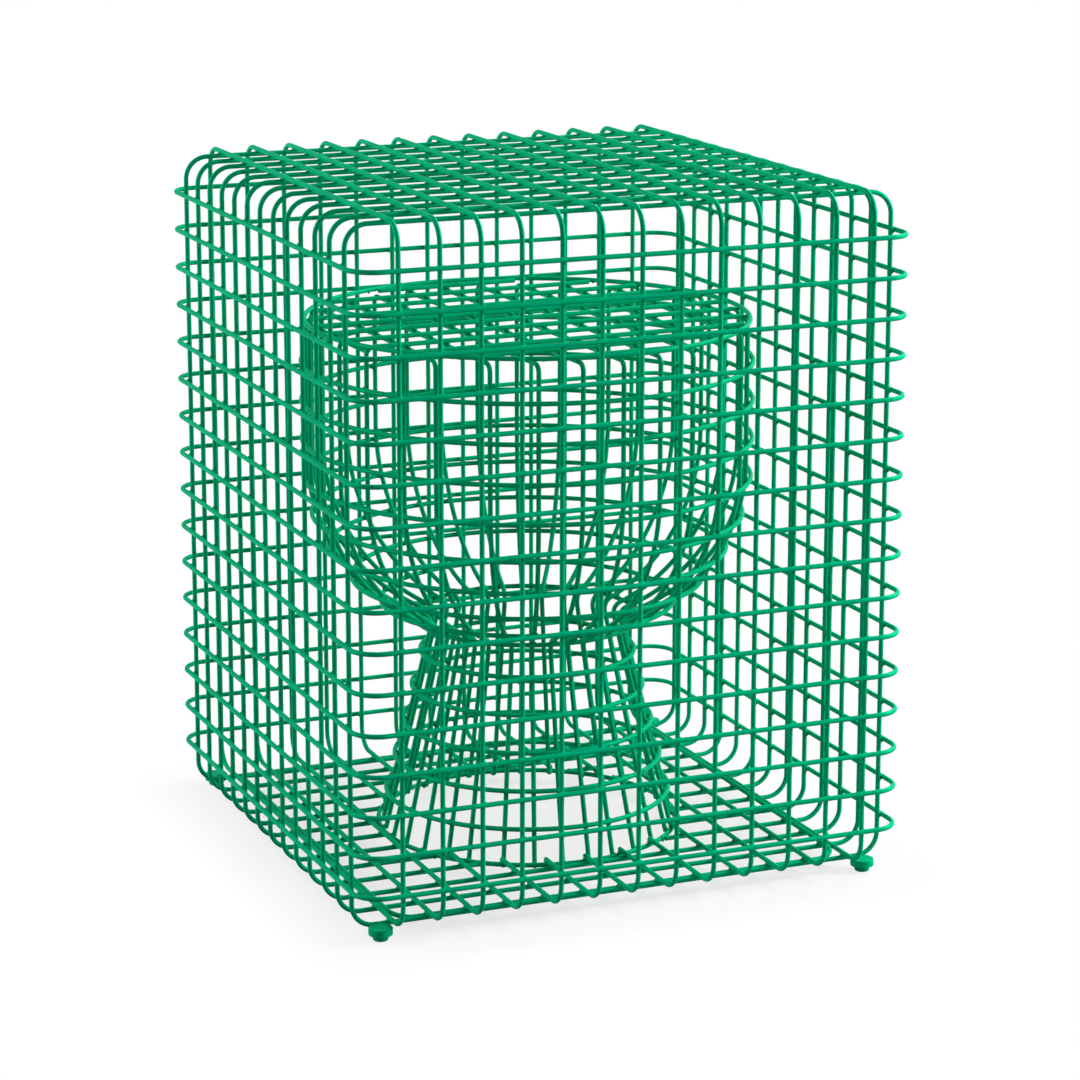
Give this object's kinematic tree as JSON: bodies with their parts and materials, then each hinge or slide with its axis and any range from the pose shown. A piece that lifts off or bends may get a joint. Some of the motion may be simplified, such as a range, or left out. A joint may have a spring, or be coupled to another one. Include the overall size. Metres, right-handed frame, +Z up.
{
  "type": "wire stool",
  "caption": "Open stool of welded, coated wire: a square mesh cage with rounded corners around a round goblet with a flat wire seat, on small round feet.",
  "frame": {"origin": "on the floor under the middle of the stool", "axes": "+Z up, -Y towards the front face, +X to the right seen from the front"},
  "size_m": [0.356, 0.356, 0.4272],
  "materials": {
    "coated_wire": "satin powder coat",
    "coated_feet": "satin powder coat"
  },
  "bodies": {
    "root": {"cross_hoop_01": "coated_wire", "cross_hoop_02": "coated_wire", "cross_hoop_03": "coated_wire", "cross_hoop_04": "coated_wire", "cross_hoop_05": "coated_wire", "cross_hoop_06": "coated_wire", "cross_hoop_07": "coated_wire", "cross_hoop_08": "coated_wire", "cross_hoop_09": "coated_wire", "cross_hoop_10": "coated_wire", "cross_hoop_11": "coated_wire", "cross_hoop_12": "coated_wire", "cross_hoop_13": "coated_wire", "length_hoop_01": "coated_wire", "length_hoop_02": "coated_wire", "length_hoop_03": "coated_wire", "length_hoop_04": "coated_wire", "length_hoop_05": "coated_wire", "length_hoop_06": "coated_wire", "length_hoop_07": "coated_wire", "length_hoop_08": "coated_wire", "length_hoop_09": "coated_wire", "length_hoop_10": "coated_wire", "length_hoop_11": "coated_wire", "length_hoop_12": "coated_wire", "length_hoop_13": "coated_wire", "belt_hoop_01": "coated_wire", "belt_hoop_02": "coated_wire", "belt_hoop_03": "coated_wire", "belt_hoop_04": "coated_wire", "belt_hoop_05": "coated_wire", "belt_hoop_06": "coated_wire", "belt_hoop_07": "coated_wire", "belt_hoop_08": "coated_wire", "belt_hoop_09": "coated_wire", "belt_hoop_10": "coated_wire", "belt_hoop_11": "coated_wire", "belt_hoop_12": "coated_wire", "belt_hoop_13": "coated_wire", "belt_hoop_14": "coated_wire", "belt_hoop_15": "coated_wire", "belt_hoop_16": "coated_wire", "goblet_floor_ring": "coated_wire", "neck_ring": "coated_wire", "seat_rim_ring": "coated_wire", "base_ring_1": "coated_wire", "base_ring_2": "coated_wire", "base_ring_3": "coated_wire", "base_ring_4": "coated_wire", "base_ring_5": "coated_wire", "bowl_ring_1": "coated_wire", "bowl_ring_2": "coated_wire", "bowl_ring_3": "coated_wire", "bowl_ring_4": "coated_wire", "floor_binding_ring": "coated_wire", "bowl_side_rings": "coated_wire", "goblet_length_wires": "coated_wire", "goblet_cross_wires": "coated_wire", "foot_pads": "coated_feet", "foot_glides": "coated_feet"}
  },
  "joints": []
}
